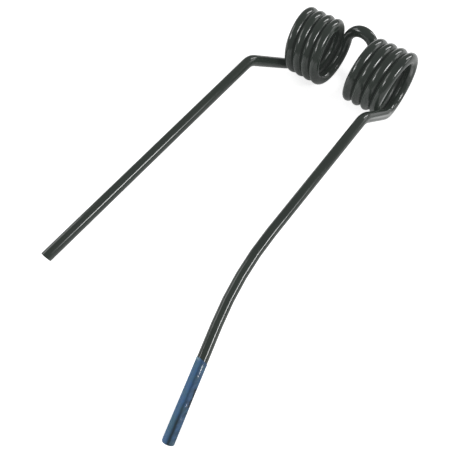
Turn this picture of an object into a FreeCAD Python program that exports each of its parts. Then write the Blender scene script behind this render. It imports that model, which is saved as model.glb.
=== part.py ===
# Double spring tine of a hay rake, bent cold from one length of round spring wire.
# Two close wound coils sit side by side on one axis, joined at the back by a hairpin loop.
# A working arm leaves each coil at the front: the short arm is straight after its elbow,
# the long arm has one more easy bend, a knee, and a coat of dip paint on its last stretch.
#
# Frame: the coil axis is X, the arms reach towards -Y and +Z is up. The origin is on the
# coil axis, midway between the coils. The tine lies as it comes to rest on a level surface,
# on the undersides of both coils and on the tip of the long arm.

import FreeCAD, Part
import math
import os
from FreeCAD import Vector

# Wire, and the small chamfer left where the burr was ground off its cut ends
WIRE_D = 9.5
END_CHAMFER = 0.5

# Coils, measured to the centre line of the wire
COIL_MEAN_D = 47.0
SHORT_COIL_PITCH = 9.6
LONG_COIL_PITCH = 9.9
COIL_WHOLE_TURNS = 4
ARCS_PER_COIL = 18

# Angles round the coil axis, before the tine is laid down: 0 front, 90 top, 180 back, 270 bottom
COIL_START_DEG = 171.4
COIL_END_DEG = 295.0

# Hairpin loop between the coils
LOOP_WIDTH = 29.2
LOOP_LEG = 0.8

# Stub from each coil to its elbow: its rise, the easy bend where it starts, and the elbow
STUB_RISE_DEG = 25.0
STUB_LEAD = 3.5
STUB_BEND_RADIUS = 30.0
ELBOW_RADIUS = 18.0

# Short arm, on the left. Splay is the turn to the outside.
SHORT_STUB_LENGTH = 57.1
SHORT_STUB_SPLAY_DEG = 13.7
SHORT_ARM_RISE_DEG = -8.9
SHORT_ARM_SPLAY_DEG = 0.8
SHORT_ARM_LENGTH = 256.0

# Long arm, on the right, with its knee between the upper and the lower stretch
LONG_STUB_LENGTH = 46.8
LONG_STUB_SPLAY_DEG = -8.5
LONG_ARM_RISE_DEG = -11.8
LONG_ARM_SPLAY_DEG = 1.2
LONG_ARM_LENGTH = 175.2
KNEE_RADIUS = 300.0
LONG_TIP_RISE_DEG = -17.5
LONG_TIP_SPLAY_DEG = 17.0
LONG_TIP_LENGTH = 137.6

# Coat of dip paint on the end of the long arm. It ran down while wet, so it is thickest at
# the tip, and its upper edge is slanted because the tine hung askew in the bath.
COAT_LENGTH = 65.5
COAT_EDGE_THICKNESS = 0.12
COAT_TIP_THICKNESS = 0.38
COAT_END_THICKNESS = 0.4
COAT_END_ROUND = 1.4
COAT_SLANT_DEG = 18.0

LEFT = -1
RIGHT = 1
ORIGIN = Vector(0, 0, 0)
X_AXIS = Vector(1, 0, 0)

# Worked out from the sizes above
WIRE_R = WIRE_D / 2
COIL_R = COIL_MEAN_D / 2
COIL_SWEEP_DEG = 360 * COIL_WHOLE_TURNS + COIL_END_DEG - COIL_START_DEG


def heading(rise_deg, splay_deg, side):
    """Unit vector that points forward, up by the rise and outward by the splay."""
    rise = math.radians(rise_deg)
    splay = math.radians(splay_deg)
    across = side * math.sin(splay) * math.cos(rise)
    forward = math.cos(splay) * math.cos(rise)
    return Vector(across, -forward, math.sin(rise))


def radial(angle_deg):
    """Unit vector from the coil axis outward at an angle round it."""
    angle = math.radians(angle_deg)
    return Vector(0, -math.cos(angle), math.sin(angle))


def winding(angle_deg):
    """Unit vector round the coil axis in the sense in which both coils are wound."""
    angle = math.radians(angle_deg)
    return Vector(0, math.sin(angle), math.cos(angle))


def straight(start, end):
    """One straight run of the centre line."""
    return Part.LineSegment(start, end).toShape()


def bent_run(points, radii):
    """Straight runs through the points, with a tangent arc of the given radius at each corner."""
    edges = []
    here = points[0]
    for corner, after, radius in zip(points[1:-1], points[2:], radii):
        into = (corner - here).normalize()
        out = (after - corner).normalize()
        half_turn = into.getAngle(out) / 2
        setback = radius * math.tan(half_turn)
        arc_start = corner - into * setback
        arc_end = corner + out * setback
        inward = (out - into).normalize()
        cut_off = radius / math.cos(half_turn) - radius
        edges.append(straight(here, arc_start))
        edges.append(Part.Arc(arc_start, corner + inward * cut_off, arc_end).toShape())
        here = arc_end
    edges.append(straight(here, points[-1]))
    return edges


def coil_centre_line(side):
    """Helix of one coil from the hairpin loop outward, as equal arcs tangent to each other.

    Each arc lies in its own plane, tilted so that both of its ends have the helix's slope and
    stand square to the radius. So neighbours share a tangent, and every joint is on the helix.
    """
    sweep = COIL_SWEEP_DEG / ARCS_PER_COIL
    half = math.radians(sweep / 2)
    pitch = SHORT_COIL_PITCH if side == LEFT else LONG_COIL_PITCH
    advance = pitch * sweep / 360
    tilt = math.atan(advance / (2 * COIL_R * math.sin(half)))
    reach = math.atan(math.cos(tilt) * math.tan(half))
    arc_radius = COIL_R * math.sin(half) / (math.sin(reach) * math.cos(tilt))
    offset = COIL_R * math.cos(half) - arc_radius * math.cos(reach)
    outward = X_AXIS * side
    edges = []
    for number in range(ARCS_PER_COIL):
        middle = COIL_START_DEG + (number + 0.5) * sweep
        across = LOOP_WIDTH / 2 + (number + 0.5) * advance
        spoke = radial(middle)
        along = winding(middle) * math.cos(tilt) + outward * math.sin(tilt)
        centre = outward * across + spoke * offset
        high = centre + spoke * arc_radius
        inner = centre + spoke * (arc_radius * math.cos(reach)) - along * (arc_radius * math.sin(reach))
        outer = centre + spoke * (arc_radius * math.cos(reach)) + along * (arc_radius * math.sin(reach))
        edges.append(Part.Arc(inner, high, outer).toShape())
    return edges


def start_of(edge):
    """Point and direction at the start of an edge."""
    return edge.valueAt(edge.FirstParameter), edge.tangentAt(edge.FirstParameter)


def end_of(edge):
    """Point and direction at the end of an edge."""
    return edge.valueAt(edge.LastParameter), edge.tangentAt(edge.LastParameter)


def hairpin_edges(left_coil, right_coil):
    """Two legs that carry straight on from the coils, and the arch tangent to both of them."""
    left_foot, left_way = start_of(left_coil[0])
    right_foot, right_way = start_of(right_coil[0])
    left_top = left_foot - left_way * LOOP_LEG
    right_top = right_foot - right_way * LOOP_LEG
    half_gap = (right_top - left_top).Length / 2
    lean = left_way.x / math.hypot(left_way.y, left_way.z)
    arch_radius = half_gap * math.hypot(1, lean)
    up = winding(COIL_START_DEG) * -1
    crown = (left_top + right_top) * 0.5 + up * (arch_radius + half_gap * lean)
    return [
        straight(left_foot, left_top),
        Part.Arc(left_top, crown, right_top).toShape(),
        straight(right_top, right_foot)]


def short_arm_points(left_coil):
    """Corners of the left arm, from its coil to its tip."""
    start, way = end_of(left_coil[-1])
    bend = start + way * STUB_LEAD
    elbow = bend + heading(STUB_RISE_DEG, SHORT_STUB_SPLAY_DEG, LEFT) * (SHORT_STUB_LENGTH - STUB_LEAD)
    tip = elbow + heading(SHORT_ARM_RISE_DEG, SHORT_ARM_SPLAY_DEG, LEFT) * SHORT_ARM_LENGTH
    return [start, bend, elbow, tip]


def long_arm_points(right_coil):
    """Corners of the right arm, from its coil past its knee to its tip."""
    start, way = end_of(right_coil[-1])
    bend = start + way * STUB_LEAD
    elbow = bend + heading(STUB_RISE_DEG, LONG_STUB_SPLAY_DEG, RIGHT) * (LONG_STUB_LENGTH - STUB_LEAD)
    knee = elbow + heading(LONG_ARM_RISE_DEG, LONG_ARM_SPLAY_DEG, RIGHT) * LONG_ARM_LENGTH
    tip = knee + heading(LONG_TIP_RISE_DEG, LONG_TIP_SPLAY_DEG, RIGHT) * LONG_TIP_LENGTH
    return [start, bend, elbow, knee, tip]


def spring_wire(short_points, long_points, left_coil, right_coil):
    """The wire itself: a round section swept along the whole centre line, tip to tip."""
    short_arm = bent_run(short_points, [STUB_BEND_RADIUS, ELBOW_RADIUS])
    long_arm = bent_run(long_points, [STUB_BEND_RADIUS, ELBOW_RADIUS, KNEE_RADIUS])
    edges = short_arm + left_coil + hairpin_edges(left_coil, right_coil) + right_coil + long_arm
    centre_line = Part.Wire(Part.__sortEdges__(edges))
    along = short_points[-1] - short_points[-2]
    section = Part.Wire(Part.makeCircle(WIRE_R, short_points[-1], along))
    wire = centre_line.makePipeShell([section], True, False)
    return wire.makeChamfer(END_CHAMFER, end_rims(wire, short_points[-1], long_points[-1]))


def end_rims(wire, *tips):
    """The circular edges round the two cut ends."""
    rims = []
    for face in wire.Faces:
        middle = face.CenterOfMass
        if any(middle.distanceToPoint(tip) < WIRE_R / 2 for tip in tips):
            rims += face.Edges
    return rims


def dip_coat(long_points):
    """The paint: a thin sleeve with a closed, rounded end that fits the wire all over."""
    tip = long_points[-1]
    up_wire = (long_points[-2] - tip).normalize()
    out = up_wire.cross(X_AXIS).normalize()
    tip_r = WIRE_R + COAT_TIP_THICKNESS
    edge_r = WIRE_R + COAT_EDGE_THICKNESS
    far = COAT_LENGTH + 2 * WIRE_D
    below = tip - up_wire * COAT_END_THICKNESS
    round_start = below + out * (tip_r - COAT_END_ROUND)
    round_end = below + out * tip_r + up_wire * COAT_END_ROUND
    inset = COAT_END_ROUND * (1 - math.sqrt(0.5))
    round_middle = below + out * (tip_r - inset) + up_wire * inset
    upper_out = tip + up_wire * far + out * edge_r
    upper_in = tip + up_wire * far + out * WIRE_R
    chamfer_top = tip + up_wire * END_CHAMFER + out * WIRE_R
    chamfer_foot = tip + out * (WIRE_R - END_CHAMFER)
    outline = Part.Wire([
        straight(below, round_start),
        Part.Arc(round_start, round_middle, round_end).toShape(),
        straight(round_end, upper_out),
        straight(upper_out, upper_in),
        straight(upper_in, chamfer_top),
        straight(chamfer_top, chamfer_foot),
        straight(chamfer_foot, tip),
        straight(tip, below)])
    body = Part.Face(outline).revolve(tip, up_wire, 360)
    edge_middle = tip + up_wire * COAT_LENGTH
    turn = FreeCAD.Rotation(out, COAT_SLANT_DEG)
    towards_tip = turn.multVec(up_wire) * -1
    dipped = Part.makeCylinder(COAT_LENGTH, 2 * COAT_LENGTH, edge_middle, towards_tip)
    return body.common(dipped)


def resting_turn_deg(long_points):
    """Turn about the coil axis that brings the long tip's underside level with the coils'."""
    tip = long_points[-1]
    way = (tip - long_points[-2]).normalize()
    down = way.cross(X_AXIS).normalize()
    low = tip + down * (math.copysign(1, -down.z) * (WIRE_R + COAT_TIP_THICKNESS))
    distance = math.hypot(low.y, low.z)
    depth = COIL_R + WIRE_R
    return math.degrees(math.asin(depth / distance) - math.atan2(low.z, low.y)) - 180


def main():
    """Build the tine, lay it down and write one file for each piece."""
    left_coil = coil_centre_line(LEFT)
    right_coil = coil_centre_line(RIGHT)
    short_points = short_arm_points(left_coil)
    long_points = long_arm_points(right_coil)
    wire = spring_wire(short_points, long_points, left_coil, right_coil)
    coat = dip_coat(long_points)
    turn = resting_turn_deg(long_points)
    os.makedirs("parts", exist_ok=True)
    for name, shape in (("spring_wire", wire), ("tip_coat", coat)):
        laid = shape.rotated(ORIGIN, X_AXIS, turn)
        laid.exportStep("parts/" + name + ".step")


main()
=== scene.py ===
"""Looks of a double spring tine of a hay rake, bent from one length of round spring wire.

The wire is coated in glossy black stoving enamel, and the last stretch of its long arm was
dipped in blue paint. Sizes of the tine are in millimetres, meshes and the stage in metres.
"""

import logging
import math
from dataclasses import dataclass
from enum import Enum

import bpy
from mathutils import Matrix, Vector, noise


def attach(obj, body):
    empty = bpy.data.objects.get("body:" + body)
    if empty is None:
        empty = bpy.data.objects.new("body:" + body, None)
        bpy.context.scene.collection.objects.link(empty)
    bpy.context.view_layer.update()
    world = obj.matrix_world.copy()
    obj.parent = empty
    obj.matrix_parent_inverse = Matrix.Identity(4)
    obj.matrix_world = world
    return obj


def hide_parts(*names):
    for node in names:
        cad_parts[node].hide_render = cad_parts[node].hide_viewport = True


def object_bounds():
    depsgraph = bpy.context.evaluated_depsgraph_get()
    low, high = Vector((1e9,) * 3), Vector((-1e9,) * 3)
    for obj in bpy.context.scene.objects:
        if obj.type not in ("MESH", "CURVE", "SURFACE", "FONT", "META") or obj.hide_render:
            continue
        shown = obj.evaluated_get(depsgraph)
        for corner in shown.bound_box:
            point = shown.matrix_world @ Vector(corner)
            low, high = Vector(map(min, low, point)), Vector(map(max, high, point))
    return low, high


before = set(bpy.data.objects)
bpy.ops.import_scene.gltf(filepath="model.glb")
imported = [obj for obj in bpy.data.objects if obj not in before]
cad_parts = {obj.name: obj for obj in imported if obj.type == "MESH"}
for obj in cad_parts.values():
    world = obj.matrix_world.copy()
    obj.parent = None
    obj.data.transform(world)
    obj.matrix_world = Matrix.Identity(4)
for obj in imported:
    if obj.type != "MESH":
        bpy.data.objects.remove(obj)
CAD_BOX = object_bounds()

MM = 0.001
X_AXIS = Vector((1, 0, 0))
Z_AXIS = Vector((0, 0, 1))
PHOTO_PX = 455
# Where nearly all values of a noise texture lie
NOISE_SPAN = (0.3, 0.7)
log = logging.getLogger("rake_tine")


class Side(Enum):
    """The two halves of the tine, by the sign of their X."""

    SHORT = -1
    LONG = 1


def clamped(value: float) -> float:
    """Keep a share between nothing and one."""
    return max(0.0, min(1.0, value))


def blend(ends: tuple[float, float], share: float) -> float:
    """Go from the first of two values to the second by a share."""
    return ends[0] * (1 - share) + ends[1] * share


def linear_colour(code: str) -> tuple[float, float, float, float]:
    """Turn an sRGB hex colour into linear RGBA.

    Args:
        code: Colour as "#rrggbb".

    Returns:
        Linear red, green, blue and an alpha of one.
    """
    values = []
    for start in (1, 3, 5):
        part = int(code[start:start + 2], 16) / 255
        values.append(part / 12.92 if part <= 0.04045 else ((part + 0.055) / 1.055) ** 2.4)
    return values[0], values[1], values[2], 1.0


def add_node(
        tree: bpy.types.NodeTree, kind: str, sockets: dict | None = None, **settings) -> bpy.types.Node:
    """Add one shader node with its settings, values and incoming links.

    Args:
        tree: Node tree that gets the node.
        kind: Blender's name of the node type.
        sockets: Values or output sockets, by the name or number of the input.
        settings: Properties of the node itself.

    Returns:
        The new node.
    """
    node = tree.nodes.new(kind)
    for name, value in settings.items():
        setattr(node, name, value)
    for key, value in (sockets or {}).items():
        if isinstance(value, bpy.types.NodeSocket):
            tree.links.new(value, node.inputs[key])
        else:
            node.inputs[key].default_value = value
    return node


def new_material(name: str) -> tuple[bpy.types.Material, bpy.types.NodeTree]:
    """Start a material with an empty node tree.

    Args:
        name: Name of the material.

    Returns:
        The material and its node tree.
    """
    material = bpy.data.materials.new(name)
    material.use_nodes = True
    material.node_tree.nodes.clear()
    return material, material.node_tree


@dataclass(frozen=True)
class StovingEnamel:
    """Black stoving enamel on the whole wire: dipped, drained and baked, so it is glossy."""

    name: str = "black_stoving_enamel"
    colour: str = "#1e2421"
    thin_colour: str = "#283029"
    # Greyer groove colour: dust, and partly painted light on the shaded grooves
    dust_and_painted_light_colour: str = "#323531"
    ior: float = 1.5
    roughness: float = 0.14
    roughness_spread: tuple[float, float] = (0.75, 1.35)
    dusty_roughness: float = 0.7
    # Painted light: colour and strength of the enamel's faint glow
    painted_glow_colour: str = "#f2fff8"
    painted_glow: float = 0.014
    peel_mm: float = 1.6
    peel_depth_mm: float = 0.005
    sag_mm: float = 22.0

    def material(self) -> bpy.types.Material:
        """Build the enamel, with the faint orange peel that a baked dip coat keeps.

        Returns:
            The material.
        """
        material, tree = new_material(self.name)
        place = add_node(tree, "ShaderNodeTexCoord").outputs["Object"]
        # Sags of the bath: slow changes from thick, deep black to thin, greener black.
        sag = add_node(tree, "ShaderNodeTexNoise", {
            "Vector": place, "Scale": 1 / (self.sag_mm * MM), "Detail": 3.0, "Roughness": 0.55})
        tone = add_node(tree, "ShaderNodeMix", {
            0: sag.outputs["Fac"], 6: linear_colour(self.colour), 7: linear_colour(self.thin_colour)},
            data_type="RGBA")
        gloss = add_node(tree, "ShaderNodeMapRange", {
            "Value": sag.outputs["Fac"], "From Min": NOISE_SPAN[0], "From Max": NOISE_SPAN[1],
            "To Min": self.roughness * self.roughness_spread[0],
            "To Max": self.roughness * self.roughness_spread[1]})
        # Dust and pooled enamel in the grooves between the turns, widest on the inner side of the coils:
        # greyer and matt. The greyer colour is partly painted light that lifts the shade there.
        groove = add_node(tree, "ShaderNodeAttribute", attribute_name=SpringWire.GROOVE)
        dust_and_painted_light = add_node(tree, "ShaderNodeMix", {
            0: groove.outputs["Fac"], 6: tone.outputs[2], 7: linear_colour(self.dust_and_painted_light_colour)},
            data_type="RGBA")
        sheen = add_node(tree, "ShaderNodeMix", {
            0: groove.outputs["Fac"], 2: gloss.outputs["Result"], 3: self.dusty_roughness},
            data_type="FLOAT")
        # Orange peel: it breaks the long highlights into lively ones.
        peel = add_node(tree, "ShaderNodeTexNoise", {
            "Vector": place, "Scale": 1 / (self.peel_mm * MM), "Detail": 2.0, "Roughness": 0.5})
        bump = add_node(tree, "ShaderNodeBump", {
            "Height": peel.outputs["Fac"], "Distance": self.peel_depth_mm * MM, "Strength": 1.0})
        # Painted light: the enamel glows faintly, standing in for the slight grey that stray light lays
        # over deep black.
        shader = add_node(tree, "ShaderNodeBsdfPrincipled", {
            "Base Color": dust_and_painted_light.outputs[2], "Roughness": sheen.outputs[0],
            "IOR": self.ior, "Normal": bump.outputs["Normal"],
            "Emission Color": linear_colour(self.painted_glow_colour), "Emission Strength": self.painted_glow})
        add_node(tree, "ShaderNodeOutputMaterial", {"Surface": shader.outputs["BSDF"]})
        return material


@dataclass(frozen=True)
class DipPaint:
    """Blue marking paint on the tip of the long arm: a quick cold dip, satin and uneven."""

    name: str = "blue_dip_paint"
    colour: str = "#436998"
    thick_colour: str = "#4b7088"
    # Colour of the painted highlight on the lip
    painted_highlight_colour: str = "#7d9ca8"
    # Enamel colour, for the bald patch and for the painted shade
    bare_and_painted_shade_colour: str = "#1e2421"
    ior: float = 1.48
    roughness: float = 0.52
    roughness_spread: tuple[float, float] = (0.85, 1.15)
    wet_roughness: float = 0.07
    shine: float = 0.26
    mottle_mm: float = 9.0
    mottle_span: tuple[float, float] = (0.35, 0.65)
    grain_mm: float = 1.2
    grain_depth_mm: float = 0.02

    def material(self) -> bpy.types.Material:
        """Build the paint: mottled where it ran, wet on its beads, see-through where it is thin, with a
        painted highlight on its lip and a band of painted shade.

        Returns:
            The material.
        """
        material, tree = new_material(self.name)
        place = add_node(tree, "ShaderNodeTexCoord").outputs["Object"]
        bare_and_painted_shade = add_node(tree, "ShaderNodeAttribute", attribute_name=TipCoat.BARE_AND_PAINTED_SHADE)
        wet = add_node(tree, "ShaderNodeAttribute", attribute_name=TipCoat.WET)
        pale = add_node(tree, "ShaderNodeAttribute", attribute_name=TipCoat.PAINTED_HIGHLIGHT)
        mottle = add_node(tree, "ShaderNodeTexNoise", {
            "Vector": place, "Scale": 1 / (self.mottle_mm * MM), "Detail": 4.0, "Roughness": 0.6})
        spread = add_node(tree, "ShaderNodeMapRange", {
            "Value": mottle.outputs["Fac"],
            "From Min": self.mottle_span[0], "From Max": self.mottle_span[1]})
        tone = add_node(tree, "ShaderNodeMix", {
            0: spread.outputs["Result"], 6: linear_colour(self.colour),
            7: linear_colour(self.thick_colour)}, data_type="RGBA")
        # Painted highlight: a paler rim on the left of the upper edge, where the paint's lip catches the
        # light.
        rim = add_node(tree, "ShaderNodeMix", {
            0: pale.outputs["Fac"], 6: tone.outputs[2], 7: linear_colour(self.painted_highlight_colour)},
            data_type="RGBA")
        # Towards the enamel's colour: on the bald patch, where the enamel shows through; along a band of
        # painted shade; and on the right side, which is darker.
        worn_and_painted_shade = add_node(tree, "ShaderNodeMix", {
            0: bare_and_painted_shade.outputs["Fac"], 6: rim.outputs[2], 7: linear_colour(self.bare_and_painted_shade_colour)},
            data_type="RGBA")
        # The grain that makes the paint satin is finer than this, and drawn coarser to show.
        grain = add_node(tree, "ShaderNodeTexNoise", {
            "Vector": place, "Scale": 1 / (self.grain_mm * MM), "Detail": 2.0, "Roughness": 0.5})
        bump = add_node(tree, "ShaderNodeBump", {
            "Height": grain.outputs["Fac"], "Distance": self.grain_depth_mm * MM, "Strength": 1.0})
        satin = add_node(tree, "ShaderNodeMapRange", {
            "Value": mottle.outputs["Fac"], "From Min": NOISE_SPAN[0], "From Max": NOISE_SPAN[1],
            "To Min": self.roughness * self.roughness_spread[0],
            "To Max": self.roughness * self.roughness_spread[1]})
        # A drop dried with a glassy skin over the satin paint.
        shader = add_node(tree, "ShaderNodeBsdfPrincipled", {
            "Base Color": worn_and_painted_shade.outputs[2], "Roughness": satin.outputs["Result"], "IOR": self.ior,
            "Specular IOR Level": self.shine, "Normal": bump.outputs["Normal"],
            "Coat Weight": wet.outputs["Fac"], "Coat Roughness": self.wet_roughness})
        add_node(tree, "ShaderNodeOutputMaterial", {"Surface": shader.outputs["BSDF"]})
        return material


@dataclass(frozen=True)
class WhiteTable:
    """Matt white laminate that the tine lies on, lit to a clean white in the picture."""

    name: str = "matt_white_laminate"
    colour: str = "#e6e6e6"
    roughness: float = 0.9
    seen_lift: float = 0.74
    mirrored_gain: float = 1.6
    # Painted pool of light beside the right coil, seen only in reflections
    painted_pool_place_mm: tuple[float, float, float] = (86.0, 2.0, 0.0)
    painted_pool_reach_mm: float = 30.0
    painted_pool_glow: float = 2.2

    def material(self) -> bpy.types.Material:
        """Build the table: camera and reflections see it white, with the tine's shadow on it.

        Returns:
            The material.
        """
        material, tree = new_material(self.name)
        rays = add_node(tree, "ShaderNodeLightPath")
        mirrored = add_node(tree, "ShaderNodeMath", {
            0: rays.outputs["Is Glossy Ray"], 1: rays.outputs["Is Transmission Ray"]}, operation="ADD")
        gain = add_node(tree, "ShaderNodeMath", {
            0: mirrored.outputs["Value"], 1: self.mirrored_gain - 1, 2: 1.0}, operation="MULTIPLY_ADD")
        face = add_node(tree, "ShaderNodeVectorMath", {
            0: linear_colour(self.colour)[:3], "Scale": gain.outputs["Value"]}, operation="SCALE")
        matt = add_node(tree, "ShaderNodeBsdfDiffuse", {
            "Color": face.outputs["Vector"], "Roughness": self.roughness})
        # Painted pool of light: beside the right coil the table glows for mirrored rays only, and the
        # stub there mirrors it.
        place = add_node(tree, "ShaderNodeTexCoord").outputs["Object"]
        off = add_node(tree, "ShaderNodeVectorMath", {
            0: place, 1: Vector(self.painted_pool_place_mm) * MM}, operation="DISTANCE")
        pool = add_node(tree, "ShaderNodeMapRange", {
            "Value": off.outputs["Value"], "From Max": self.painted_pool_reach_mm * MM,
            "To Min": self.painted_pool_glow, "To Max": 0.0}, interpolation_type="SMOOTHSTEP")
        glow = add_node(tree, "ShaderNodeMath", {
            0: rays.outputs["Is Glossy Ray"], 1: pool.outputs["Result"]}, operation="MULTIPLY")
        level = add_node(tree, "ShaderNodeMath", {
            0: rays.outputs["Is Camera Ray"], 1: self.seen_lift, 2: glow.outputs["Value"]},
            operation="MULTIPLY_ADD")
        lift = add_node(tree, "ShaderNodeEmission", {"Strength": level.outputs["Value"]})
        both = add_node(tree, "ShaderNodeAddShader", {
            0: matt.outputs["BSDF"], 1: lift.outputs["Emission"]})
        add_node(tree, "ShaderNodeOutputMaterial", {"Surface": both.outputs["Shader"]})
        return material


@dataclass(frozen=True)
class Run:
    """A straight stretch of the wire's centre line."""

    start: Vector
    end: Vector

    def turned_round(self) -> "Run":
        """Give the same stretch from its other end."""
        return Run(self.end, self.start)


@dataclass(frozen=True)
class Bend:
    """A stretch of the centre line that is bent to an arc."""

    start: Vector
    centre: Vector
    axis: Vector
    angle: float

    def end(self) -> Vector:
        """Give the point where the arc ends."""
        return self.centre + Matrix.Rotation(self.angle, 3, self.axis) @ (self.start - self.centre)

    def turned_round(self) -> "Bend":
        """Give the same arc from its other end."""
        return Bend(self.end(), self.centre, -self.axis, self.angle)


def tangent_bend(start: Vector, heading: Vector, end: Vector) -> Bend:
    """Find the arc that leaves a point along a heading and reaches another point.

    Args:
        start: First point of the arc.
        heading: Unit vector along the wire at the first point.
        end: Last point of the arc.

    Returns:
        The arc.
    """
    chord = end - start
    side = (chord - heading * chord.dot(heading)).normalized()
    radius = chord.length_squared / (2 * chord.dot(side))
    return Bend(start, start + side * radius, heading.cross(side), 2 * heading.angle(chord))


@dataclass
class TineShape:
    """Driving sizes of the bent wire, as in the solid model, and its centre line."""

    wire_d: float = 9.5
    coil_mean_d: float = 47.0
    short_coil_pitch: float = 9.6
    long_coil_pitch: float = 9.9
    coil_whole_turns: int = 4
    arcs_per_coil: int = 18
    coil_start_deg: float = 171.4
    coil_end_deg: float = 295.0
    loop_width: float = 29.2
    loop_leg: float = 0.8
    stub_rise_deg: float = 25.0
    stub_lead: float = 3.5
    stub_bend_radius: float = 30.0
    elbow_radius: float = 18.0
    short_stub_length: float = 57.1
    short_stub_splay_deg: float = 13.7
    short_arm_rise_deg: float = -8.9
    short_arm_splay_deg: float = 0.8
    short_arm_length: float = 256.0
    long_stub_length: float = 46.8
    long_stub_splay_deg: float = -8.5
    long_arm_rise_deg: float = -11.8
    long_arm_splay_deg: float = 1.2
    long_arm_length: float = 175.2
    knee_radius: float = 300.0
    long_tip_rise_deg: float = -17.5
    long_tip_splay_deg: float = 17.0
    long_tip_length: float = 137.6
    resting_turn_deg: float = -9.0

    def heading(self, rise_deg: float, splay_deg: float, side: Side) -> Vector:
        """Find the way that points forward, up by the rise and outward by the splay.

        Args:
            rise_deg: Angle above the level.
            splay_deg: Angle to the outside.
            side: Half of the tine that the wire is on.

        Returns:
            Unit vector along the wire.
        """
        rise = math.radians(rise_deg)
        splay = math.radians(splay_deg)
        across = side.value * math.sin(splay) * math.cos(rise)
        return Vector((across, -math.cos(splay) * math.cos(rise), math.sin(rise)))

    def coil_turns(self) -> float:
        """Give how many turns each coil has."""
        return self.coil_whole_turns + (self.coil_end_deg - self.coil_start_deg) / 360

    def coil_pitch(self, side: Side) -> float:
        """Give how far one coil advances in a turn."""
        return self.long_coil_pitch if side is Side.LONG else self.short_coil_pitch

    def corners_to_pieces(self, points: list[Vector], radii: list[float]) -> list[Run | Bend]:
        """Round the corners of a run of points.

        Args:
            points: Corners of the run, with its two ends.
            radii: Bend radius at each corner between the ends.

        Returns:
            Straight stretches and tangent arcs, in order.
        """
        pieces = []
        here = points[0]
        for corner, after, radius in zip(points[1:-1], points[2:], radii):
            into = (corner - here).normalized()
            out = (after - corner).normalized()
            setback = radius * math.tan(into.angle(out) / 2)
            arc = tangent_bend(corner - into * setback, into, corner + out * setback)
            pieces += [Run(here, arc.start), arc]
            here = corner + out * setback
        pieces.append(Run(here, points[-1]))
        return pieces

    def coil(self, side: Side) -> tuple[list[Bend], Vector, Vector]:
        """Work out the arcs of one coil from the hairpin loop outward.

        Args:
            side: Which coil.

        Returns:
            The arcs, and the headings where the coil starts and ends.
        """
        radius = self.coil_mean_d / 2
        step = self.coil_turns() * math.tau / self.arcs_per_coil
        advance = self.coil_pitch(side) * step / math.tau
        tilt = math.atan(advance / (2 * radius * math.sin(step / 2)))
        reach = math.atan(math.cos(tilt) * math.tan(step / 2))
        slope = math.asin(math.sin(tilt) * math.cos(reach))
        points = []
        headings = []
        for number in range(self.arcs_per_coil + 1):
            angle = math.radians(self.coil_start_deg) + number * step
            across = side.value * (self.loop_width / 2 + number * advance)
            points.append(Vector((across, -radius * math.cos(angle), radius * math.sin(angle))))
            around = Vector((0, math.sin(angle), math.cos(angle)))
            headings.append(around * math.cos(slope) + X_AXIS * side.value * math.sin(slope))
        arcs = [tangent_bend(*stretch) for stretch in zip(points, headings, points[1:])]
        return arcs, headings[0], headings[-1]

    def arm(self, side: Side, start: Vector, way: Vector) -> list[Run | Bend]:
        """Work out one arm from its coil to its tip.

        Args:
            side: Which arm.
            start: Where the coil ends.
            way: Heading of the wire there.

        Returns:
            Straight stretches and arcs, in order.
        """
        long_one = side is Side.LONG
        stub_splay = self.long_stub_splay_deg if long_one else self.short_stub_splay_deg
        stub_length = self.long_stub_length if long_one else self.short_stub_length
        bend = start + way * self.stub_lead
        stub_way = self.heading(self.stub_rise_deg, stub_splay, side)
        elbow = bend + stub_way * (stub_length - self.stub_lead)
        points = [start, bend, elbow]
        radii = [self.stub_bend_radius, self.elbow_radius]
        if long_one:
            upper = self.heading(self.long_arm_rise_deg, self.long_arm_splay_deg, side)
            lower = self.heading(self.long_tip_rise_deg, self.long_tip_splay_deg, side)
            knee = elbow + upper * self.long_arm_length
            points += [knee, knee + lower * self.long_tip_length]
            radii.append(self.knee_radius)
        else:
            reach = self.heading(self.short_arm_rise_deg, self.short_arm_splay_deg, side)
            points.append(elbow + reach * self.short_arm_length)
        return self.corners_to_pieces(points, radii)

    def loop(self, left: Vector, left_way: Vector, right: Vector, right_way: Vector) -> list[Run | Bend]:
        """Work out the hairpin loop between the coils.

        Args:
            left: Where the left coil starts.
            left_way: Heading of the left coil there.
            right: Where the right coil starts.
            right_way: Heading of the right coil there.

        Returns:
            The left leg, the arch and the right leg.
        """
        left_top = left - left_way * self.loop_leg
        right_top = right - right_way * self.loop_leg
        arch = tangent_bend(left_top, -left_way, right_top)
        return [Run(left, left_top), arch, Run(right_top, right)]

    def centre_line(self) -> list[Run | Bend]:
        """Work out the whole centre line, laid down at rest.

        Returns:
            Its stretches in metres, in order from the short arm's tip to the long arm's.
        """
        left_coil, left_way, left_out = self.coil(Side.SHORT)
        right_coil, right_way, right_out = self.coil(Side.LONG)
        left_half = left_coil + self.arm(Side.SHORT, left_coil[-1].end(), left_out)
        right_half = right_coil + self.arm(Side.LONG, right_coil[-1].end(), right_out)
        middle = self.loop(left_coil[0].start, left_way, right_coil[0].start, right_way)
        pieces = [piece.turned_round() for piece in reversed(left_half)] + middle + right_half
        return [self.laid_down(piece) for piece in pieces]

    def laid_down(self, piece: Run | Bend) -> Run | Bend:
        """Turn one stretch about the coil axis to the tine's rest, and scale it to metres.

        Args:
            piece: The stretch in millimetres, before it is laid down.

        Returns:
            The same stretch where it lies.
        """
        turn = Matrix.Rotation(math.radians(self.resting_turn_deg), 3, "X") * MM
        if isinstance(piece, Run):
            return Run(turn @ piece.start, turn @ piece.end)
        axis = (turn @ piece.axis).normalized()
        return Bend(turn @ piece.start, turn @ piece.centre, axis, piece.angle)


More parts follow.
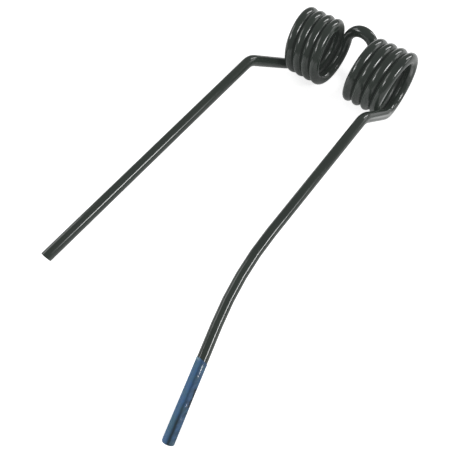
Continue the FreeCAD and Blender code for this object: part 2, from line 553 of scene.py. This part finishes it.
def deselect_all() -> None:
    """Leave nothing selected, in object mode."""
    if bpy.context.mode != "OBJECT":
        bpy.ops.object.mode_set(mode="OBJECT")
    bpy.ops.object.select_all(action="DESELECT")


def rename(piece: bpy.types.Object, name: str) -> None:
    """Name an object and its mesh."""
    piece.name = name
    piece.data.name = name


def store_values(piece: bpy.types.Object, name: str, values: list[float]) -> None:
    """Keep one value for each point of a piece, for its material to read."""
    layer = piece.data.attributes.new(name, "FLOAT", "POINT")
    layer.data.foreach_set("value", values)


@dataclass
class RoundSection:
    """A round section that is drawn out to a bar with edit-mode operators."""

    name: str
    sides: int
    run_step: float = 0.006
    bend_step_deg: float = 4.0

    def begin(self, at: Vector, heading: Vector, radius: float) -> bpy.types.Object:
        """Add the section as an open circle, square to its heading, and enter edit mode.

        Args:
            at: Centre of the circle.
            heading: Direction in which it will be drawn out.
            radius: Radius of the circle.

        Returns:
            The new object.
        """
        deselect_all()
        turn = heading.to_track_quat("Z", "Y").to_euler()
        bpy.ops.mesh.primitive_circle_add(
            vertices=self.sides, radius=radius, fill_type="NOTHING", location=at, rotation=turn)
        piece = bpy.context.object
        rename(piece, self.name)
        bpy.ops.object.transform_apply(location=True, rotation=True, scale=True)
        bpy.ops.object.mode_set(mode="EDIT")
        bpy.ops.mesh.select_all(action="SELECT")
        return piece

    def draw_straight(self, by: Vector) -> None:
        """Extrude the selected rim along a straight stretch, in even steps.

        Args:
            by: The stretch as a vector.
        """
        steps = max(1, round(by.length / self.run_step))
        for _ in range(steps):
            bpy.ops.mesh.extrude_edges_move(TRANSFORM_OT_translate={"value": by / steps})

    def draw_round(self, bend: Bend) -> None:
        """Spin the selected rim along an arc.

        Args:
            bend: The arc.
        """
        steps = max(2, round(math.degrees(bend.angle) / self.bend_step_deg))
        bpy.ops.mesh.spin(
            steps=steps, angle=-bend.angle, center=bend.centre, axis=bend.axis, use_auto_merge=False)

    def draw_along(self, pieces: list[Run | Bend]) -> None:
        """Draw the selected rim along a whole centre line.

        Args:
            pieces: Stretches of the centre line, in order.
        """
        for piece in pieces:
            if isinstance(piece, Run):
                self.draw_straight(piece.end - piece.start)
            else:
                self.draw_round(piece)


def select_edges_near(piece: bpy.types.Object, at: Vector, reach: float) -> None:
    """Select the edges whose ends both lie near a point, and no others.

    Args:
        piece: Object in edit mode.
        at: The point.
        reach: How far from it an edge may lie.
    """
    bpy.ops.mesh.select_mode(type="EDGE")
    bpy.ops.mesh.select_all(action="DESELECT")
    bpy.ops.object.mode_set(mode="OBJECT")
    points = piece.data.vertices
    for edge in piece.data.edges:
        edge.select = all((points[index].co - at).length < reach for index in edge.vertices)
    bpy.ops.object.mode_set(mode="EDIT")


@dataclass
class SpringWire:
    """The wire of the tine: two arms, two coils and the hairpin loop in one piece."""

    GROOVE = "groove"

    shape: TineShape
    enamel: StovingEnamel
    groove_facing: float = 0.8
    inside_facing: float = 0.45
    groove_inset_mm: float = 3.0
    groove_softness: float = 0.7
    pool_softness: float = 0.5
    sides: int = 48
    rim_margin: float = 1.01
    end_round_mm: float = 0.5
    end_round_steps: int = 3
    shade_angle_deg: float = 40.0

    def build(self) -> bpy.types.Object:
        """Draw the wire from tip to tip, close its ends and dress it.

        Returns:
            The finished wire.
        """
        pieces = self.shape.centre_line()
        radius = self.shape.wire_d / 2 * MM
        section = RoundSection("bent_spring_wire", self.sides)
        first = pieces[0]
        last = pieces[-1]
        wire = section.begin(first.start, (first.end - first.start).normalized(), radius)
        section.draw_along(pieces)
        for tip in (first.start, last.end):
            self.close_end(wire, tip, radius)
        bpy.ops.mesh.select_all(action="SELECT")
        bpy.ops.mesh.normals_make_consistent(inside=False)
        bpy.ops.object.mode_set(mode="OBJECT")
        bpy.ops.object.shade_smooth_by_angle(angle=math.radians(self.shade_angle_deg))
        self.fill_grooves(wire)
        wire.data.materials.append(self.enamel.material())
        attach(wire, "root")
        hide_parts("spring_wire")
        return wire

    def fill_grooves(self, wire: bpy.types.Object) -> None:
        """Let enamel pool between the turns, and mark how much each point faces a neighbour.

        The pooled enamel only closes the hair's breadth between two turns.

        Args:
            wire: The finished wire.
        """
        shape = self.shape
        first_turn = shape.loop_width / 2 + self.groove_inset_mm
        coil_end = shape.loop_width / 2 + shape.coil_turns() * shape.short_coil_pitch
        last_turn = coil_end - self.groove_inset_mm
        outside = (shape.coil_mean_d + shape.wire_d) / 2
        values = []
        normals = [point.normal.x for point in wire.data.vertices]
        for point, facing_x in zip(wire.data.vertices, normals):
            x, y, z = point.co / MM
            off_axis = math.hypot(y, z)
            value = 0.0
            if first_turn < abs(x) < last_turn and off_axis < outside:
                least = self.inside_facing if off_axis < shape.coil_mean_d / 2 else self.groove_facing
                value = self.facing_share(facing_x, least) ** self.groove_softness
                gap = shape.coil_pitch(Side.LONG if x > 0 else Side.SHORT) - shape.wire_d
                pooled = self.facing_share(facing_x, self.groove_facing) ** self.pool_softness
                point.co.x += math.copysign(gap / 2 * pooled, facing_x) * MM
            values.append(value)
        store_values(wire, self.GROOVE, values)

    def facing_share(self, facing_x: float, least: float) -> float:
        """Give how squarely a point faces its neighbour, from nothing to one.

        Args:
            facing_x: Part of the point's normal along the coil axis.
            least: Part at which the share starts.

        Returns:
            The share.
        """
        return max(0.0, (abs(facing_x) - least) / (1 - least))

    def close_end(self, wire: bpy.types.Object, tip: Vector, radius: float) -> None:
        """Close one cut end with a flat face and take the burr off its rim.

        Args:
            wire: The wire, in edit mode.
            tip: Centre of the cut face.
            radius: Radius of the wire.
        """
        select_edges_near(wire, tip, radius * self.rim_margin)
        bpy.ops.mesh.edge_face_add()
        bpy.ops.mesh.bevel(
            offset=self.end_round_mm * MM, segments=self.end_round_steps, affect="EDGES")


@dataclass(frozen=True)
class Bead:
    """A drop of paint that dried where it hung, by its place on the tip."""

    along_mm: float
    angle_deg: float
    length_mm: float
    width_mm: float
    height_mm: float
    wetness: float

    def share(self, along_mm: float, round_mm: float) -> float:
        """Give how much of the bead is at a place, from nothing to one.

        Args:
            along_mm: Distance of the place from the wire's end.
            round_mm: Distance of the place round the wire from the bead's own line.

        Returns:
            The share.
        """
        lengthways = (along_mm - self.along_mm) / (self.length_mm / 2)
        sideways = round_mm / (self.width_mm / 2)
        return math.exp(-lengthways ** 2 - sideways ** 2)


@dataclass
class TipCoat:
    """The blue paint on the long arm's last stretch, in a skin thick enough to catch light.

    Angles go round the wire, looking down to the tip: 0 is on top, and minus is on the right.
    """

    BARE_AND_PAINTED_SHADE = "bare_and_painted_shade"
    WET = "wet"
    PAINTED_HIGHLIGHT = "pale"

    shape: TineShape
    paint: DipPaint
    sides: int = 120
    rings: int = 132
    # The skin's thickness falls from the tip to the upper edge
    length_mm: float = 65.5
    tip_thickness_mm: float = 0.36
    skin_mm: float = 0.14
    end_thickness_mm: float = 0.38
    end_round_mm: float = 1.3
    end_round_steps: int = 5
    # Upper edge: its slant, its raggedness, the lip below it and the feather at its very end
    slant_mm: float = 1.5
    slant_turn_deg: float = 62.0
    ragged_mm: float = 0.45
    ragged_grain_mm: float = 2.6
    ragged_fine_share: float = 0.5
    ragged_fine_scale: float = 2.3
    lip_mm: float = 0.10
    lip_width_mm: float = 1.1
    feather: float = 0.05
    feather_mm: float = 0.8
    # Where the paint takes the enamel's colour: a bald patch where the enamel shows through, a band of
    # painted shade down the middle, and the right side, darker and patchy
    blotch_round: float = 1.7
    blotch_mm: float = 3.0
    worn_thinner: float = 0.5
    bald_along_mm: tuple[float, float] = (27.5, 46.0)
    bald_turn_deg: float = -84.0
    bald_half_width_deg: float = 40.0
    bald_edge_mm: float = 3.0
    bald_ragged: float = 0.35
    bald_contrast: float = 2.5
    bald_strength: float = 0.92
    # Painted shade: a dark band down the paint where it mirrors no lamp, darkest towards the tip
    painted_shade_turn_deg: float = -15.0
    painted_shade_half_width_deg: tuple[float, float] = (20.0, 13.0)
    painted_shade_strength: tuple[float, float] = (0.88, 0.6)
    painted_shade_deep_mm: tuple[float, float] = (18.0, 35.0)
    painted_shade_ragged_deg: float = 4.0
    drained: float = 0.5
    drained_patchy: float = 0.6
    # Painted highlight: a paler rim on the left of the upper edge
    painted_highlight_side_deg: float = 52.0
    painted_highlight_half_width_deg: float = 42.0
    shade_angle_deg: float = 60.0
    # Places and sizes: along, angle, length, width, height and wetness
    beads: tuple[Bead, ...] = (
        Bead(61.3, -36.0, 2.3, 3.2, 0.035, 1.0),
        Bead(58.6, -38.0, 2.1, 3.0, 0.035, 1.0),
        Bead(56.0, -41.0, 1.9, 2.8, 0.035, 1.0),
        Bead(53.2, -45.0, 1.4, 2.0, 0.05, 0.7),
        Bead(30.0, -38.0, 2.6, 2.2, 0.07, 1.0),
        Bead(19.6, -41.0, 2.8, 2.2, 0.07, 1.0),
        Bead(2.6, -58.0, 1.6, 2.6, 0.04, 0.6))

    def build(self) -> bpy.types.Object:
        """Draw the skin of paint down over the tip, let it run and bead, and dress it.

        Returns:
            The finished coat.
        """
        last = self.shape.centre_line()[-1]
        down = (last.end - last.start).normalized()
        top = last.end - down * self.length_mm * MM
        radius = (self.shape.wire_d / 2 + self.tip_thickness_mm) * MM
        section = RoundSection("blue_tip_coat", self.sides)
        straight = (self.length_mm + self.end_thickness_mm - self.end_round_mm) * MM
        section.run_step = straight / self.rings
        coat = section.begin(top, down, radius)
        section.draw_straight(down * straight)
        self.round_over(top + down * straight, down, radius)
        bpy.ops.mesh.edge_face_add()
        bpy.ops.mesh.select_all(action="SELECT")
        bpy.ops.mesh.normals_make_consistent(inside=False)
        bpy.ops.object.mode_set(mode="OBJECT")
        self.let_run(coat, last.end, down)
        bpy.ops.object.shade_smooth_by_angle(angle=math.radians(self.shade_angle_deg))
        coat.data.materials.append(self.paint.material())
        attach(coat, "root")
        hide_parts("tip_coat")
        return coat

    def round_over(self, start: Vector, down: Vector, radius: float) -> None:
        """Turn the selected rim in to the flat end of the coat.

        Args:
            start: Centre of the rim where the rounding starts.
            down: Heading of the wire.
            radius: Radius of the rim there.
        """
        corner = self.end_round_mm * MM
        for step in range(1, self.end_round_steps + 1):
            before = math.pi / 2 * (step - 1) / self.end_round_steps
            now = math.pi / 2 * step / self.end_round_steps
            fall = corner * (math.sin(now) - math.sin(before))
            factor = (radius - corner * (1 - math.cos(now))) / (radius - corner * (1 - math.cos(before)))
            bpy.ops.mesh.extrude_edges_move(TRANSFORM_OT_translate={"value": down * fall})
            bpy.ops.transform.resize(
                value=(factor, factor, factor), center_override=start + down * corner * math.sin(now))

    def edge_at(self, angle: float, out: Vector) -> float:
        """Give how far the paint reaches up the wire from its end.

        Args:
            angle: Angle round the wire in radians.
            out: Unit vector outward at that angle.

        Returns:
            The reach in mm.
        """
        slant = self.slant_mm * math.cos(angle - math.radians(self.slant_turn_deg))
        around = out * (self.shape.wire_d / 2 / self.ragged_grain_mm)
        fine = self.ragged_fine_share * noise.noise(around * self.ragged_fine_scale)
        return self.length_mm + slant + self.ragged_mm * (noise.noise(around) + fine)

    def bareness_and_painted_shade(self, along_mm: float, angle: float, out: Vector) -> float:
        """Give how far the paint turns to the black enamel's colour at a place, from nothing to one:
        where the enamel shows through, along a band of painted shade, and on the darker right side.

        Args:
            along_mm: Distance of the place from the wire's end.
            angle: Angle round the wire in radians.
            out: Unit vector outward at that angle.

        Returns:
            The share of the enamel's colour.
        """
        turn = math.degrees(angle)
        rough = noise.noise(out * self.blotch_round + Vector((0, 0, along_mm / self.blotch_mm)))
        low, high = self.bald_along_mm
        inside = min(along_mm - low, high - along_mm) / self.bald_edge_mm + rough
        off_bald = abs(turn - self.bald_turn_deg) / self.bald_half_width_deg
        beside = 1 - off_bald + self.bald_ragged * rough
        bald = self.bald_strength * clamped(inside) * clamped(beside * self.bald_contrast)
        deep, shallow = self.painted_shade_deep_mm
        fade = clamped((along_mm - deep) / (shallow - deep))
        # Painted shade: a dark band down the middle of the paint, where it mirrors no lamp
        off_painted_shade = turn - self.painted_shade_turn_deg + self.painted_shade_ragged_deg * rough
        width = blend(self.painted_shade_half_width_deg, fade)
        painted_shade = blend(self.painted_shade_strength, fade) * math.exp(-(off_painted_shade / width) ** 2)
        drained = 0.0
        if turn < self.painted_shade_turn_deg:
            drained = self.drained * (1 + self.drained_patchy * rough)
        return max(bald, painted_shade, drained)

    def pooled(self, along_mm: float, angle: float) -> tuple[float, float]:
        """Give what the beads add to the skin at a place, and how wet it looks.

        Args:
            along_mm: Distance of the place from the wire's end.
            angle: Angle round the wire in radians.

        Returns:
            The added height in mm, and the wetness from nothing to one.
        """
        height = 0.0
        wet = 0.0
        for bead in self.beads:
            turn = math.remainder(angle - math.radians(bead.angle_deg), math.tau)
            share = bead.share(along_mm, turn * self.shape.wire_d / 2)
            height += bead.height_mm * share
            wet = max(wet, bead.wetness * min(1.0, 2 * share))
        return height, wet

    def let_run(self, coat: bpy.types.Object, end: Vector, down: Vector) -> None:
        """Give the skin its ragged slanted edge, its lip, its beads and its thin places, and mark its
        painted highlight and painted shade.

        Args:
            coat: The evenly drawn skin.
            end: Centre of the wire's cut end.
            down: Heading of the wire.
        """
        up = (Z_AXIS - down * Z_AXIS.dot(down)).normalized()
        left = down.cross(up)
        wire = self.shape.wire_d / 2
        bare_and_painted_shade_values = []
        wet_values = []
        painted_highlight_values = []
        for point in coat.data.vertices:
            arm = (point.co - end) / MM
            along = -arm.dot(down)
            out = arm + down * along
            radius = out.length
            out.normalize()
            angle = math.atan2(out.dot(left), out.dot(up))
            edge = self.edge_at(angle, out)
            if along > self.end_round_mm:
                stretch = (edge - self.end_round_mm) / (self.length_mm - self.end_round_mm)
                along = self.end_round_mm + (along - self.end_round_mm) * stretch
            below = max(0.0, edge - along)
            bare_and_painted_shade = self.bareness_and_painted_shade(along, angle, out)
            drop, wet = self.pooled(along, angle)
            from_lip = (below - self.lip_width_mm) / self.lip_width_mm
            lip = self.lip_mm * math.exp(-from_lip ** 2)
            even = blend((self.tip_thickness_mm, self.skin_mm), max(0.0, along) / self.length_mm)
            skin = even * (1 - self.worn_thinner * bare_and_painted_shade) + drop + lip
            if along > self.end_round_mm:
                radius = wire + skin * min(1.0, self.feather + below / self.feather_mm)
            point.co = end + (out * radius - down * along) * MM
            bare_and_painted_shade_values.append(bare_and_painted_shade)
            wet_values.append(wet)
            # Painted highlight: paler along the lip on the left side
            off_painted_highlight = (math.degrees(angle) - self.painted_highlight_side_deg) / self.painted_highlight_half_width_deg
            painted_highlight_values.append(math.exp(-off_painted_highlight ** 4 - from_lip ** 2))
        store_values(coat, self.BARE_AND_PAINTED_SHADE, bare_and_painted_shade_values)
        store_values(coat, self.WET, wet_values)
        store_values(coat, self.PAINTED_HIGHLIGHT, painted_highlight_values)


@dataclass(frozen=True)
class Lamp:
    """One soft lamp of the studio, aimed at a point of the tine."""

    name: str
    azimuth_deg: float
    elevation_deg: float
    distance: float
    width: float
    height: float
    radiance: float
    target: tuple[float, float, float] = (0.0, -0.1, 0.0)

    def hang(self) -> None:
        """Add the lamp: its power follows from how bright its face looks."""
        azimuth = math.radians(self.azimuth_deg)
        elevation = math.radians(self.elevation_deg)
        away = Vector((
            math.cos(azimuth) * math.cos(elevation),
            math.sin(azimuth) * math.cos(elevation),
            math.sin(elevation)))
        light = bpy.data.lights.new(self.name, "AREA")
        light.shape = "RECTANGLE"
        light.size = self.width
        light.size_y = self.height
        light.energy = self.radiance * math.pi * self.width * self.height
        lamp = bpy.data.objects.new(self.name, light)
        lamp.location = Vector(self.target) + away * self.distance
        lamp.rotation_euler = (-away).to_track_quat("-Z", "Y").to_euler()
        bpy.context.scene.collection.objects.link(lamp)


@dataclass(frozen=True)
class PhotoCamera:
    """Camera at the photograph's place, with its view given in the photograph's pixels."""

    place_mm: tuple[float, float, float] = (138.1, -287.5, 279.6)
    azimuth_deg: float = -55.90
    elevation_deg: float = 69.22
    roll_deg: float = -16.67
    focal_px: float = 378.6
    centre_px: tuple[float, float] = (231.3, 270.5)
    sensor_mm: float = 36.0

    def set_up(self) -> None:
        """Add the camera and make it the scene's."""
        azimuth = math.radians(self.azimuth_deg)
        elevation = math.radians(self.elevation_deg)
        ahead = Vector((
            math.sin(azimuth) * math.cos(elevation),
            math.cos(azimuth) * math.cos(elevation),
            -math.sin(elevation)))
        level = ahead.cross(Z_AXIS).normalized()
        upright = level.cross(ahead)
        roll = math.radians(self.roll_deg)
        right = level * math.cos(roll) + upright * math.sin(roll)
        up = upright * math.cos(roll) - level * math.sin(roll)
        data = bpy.data.cameras.new("photo_camera")
        data.sensor_width = self.sensor_mm
        data.lens = self.focal_px * self.sensor_mm / PHOTO_PX
        data.shift_x = 0.5 - self.centre_px[0] / PHOTO_PX
        data.shift_y = self.centre_px[1] / PHOTO_PX - 0.5
        camera = bpy.data.objects.new("photo_camera", data)
        turn = Matrix((right, up, -ahead)).transposed().to_4x4()
        camera.matrix_world = Matrix.Translation(Vector(self.place_mm) * MM) @ turn
        bpy.context.scene.collection.objects.link(camera)
        bpy.context.scene.camera = camera


@dataclass
class Studio:
    """White table, soft lamps, pale surroundings and the camera."""

    table: WhiteTable
    camera: PhotoCamera
    table_size: float = 12.0
    room_colour: str = "#ffffff"
    surround: float = 0.288
    # Places and sizes: azimuth, elevation, distance, width, height and radiance
    lamps: tuple[Lamp, ...] = (
        Lamp("lamp_on_the_right", 9.6, 27.5, 5.0, 1.8, 0.85, 16.5),
        Lamp("edge_of_lamp_on_the_right", 11.0, 27.5, 5.05, 2.8, 0.85, 6.5),
        Lamp("lamp_behind", 75.0, 24.0, 5.0, 0.8, 2.5, 8.5),
        Lamp("lamp_on_the_left", -137.0, 30.0, 5.0, 1.65, 1.1, 12.0),
        Lamp("window_on_the_left", -167.0, 32.0, 5.0, 2.1, 2.0, 3.0),
        Lamp("window_behind", 50.0, 17.0, 5.0, 1.9, 1.5, 2.0))

    def set_up(self) -> None:
        """Lay the table, hang the lamps and place the camera."""
        scene = bpy.context.scene
        scene.view_settings.view_transform = "Standard"
        deselect_all()
        bpy.ops.mesh.primitive_plane_add(size=self.table_size, location=(0, 0, CAD_BOX[0][2]))
        floor = bpy.context.object
        rename(floor, "white_table")
        floor.data.materials.append(self.table.material())
        for lamp in self.lamps:
            lamp.hang()
        world = bpy.data.worlds.new("pale_room")
        scene.world = world
        world.use_nodes = True
        tree = world.node_tree
        tree.nodes.clear()
        rays = add_node(tree, "ShaderNodeLightPath")
        glow = add_node(tree, "ShaderNodeMix", {
            0: rays.outputs["Is Camera Ray"], 2: self.surround, 3: 1.0}, data_type="FLOAT")
        back = add_node(tree, "ShaderNodeBackground", {
            "Color": linear_colour(self.room_colour), "Strength": glow.outputs[0]})
        add_node(tree, "ShaderNodeOutputWorld", {"Surface": back.outputs["Background"]})
        self.camera.set_up()


def main() -> None:
    """Build the tine and its studio."""
    logging.basicConfig(level=logging.INFO, format="%(message)s")
    shape = TineShape()
    for maker in (SpringWire(shape, StovingEnamel()), TipCoat(shape, DipPaint())):
        piece = maker.build()
        log.info("%s: %d faces", piece.name, len(piece.data.polygons))
    Studio(WhiteTable(), PhotoCamera()).set_up()


if __name__ == "__main__":
    main()
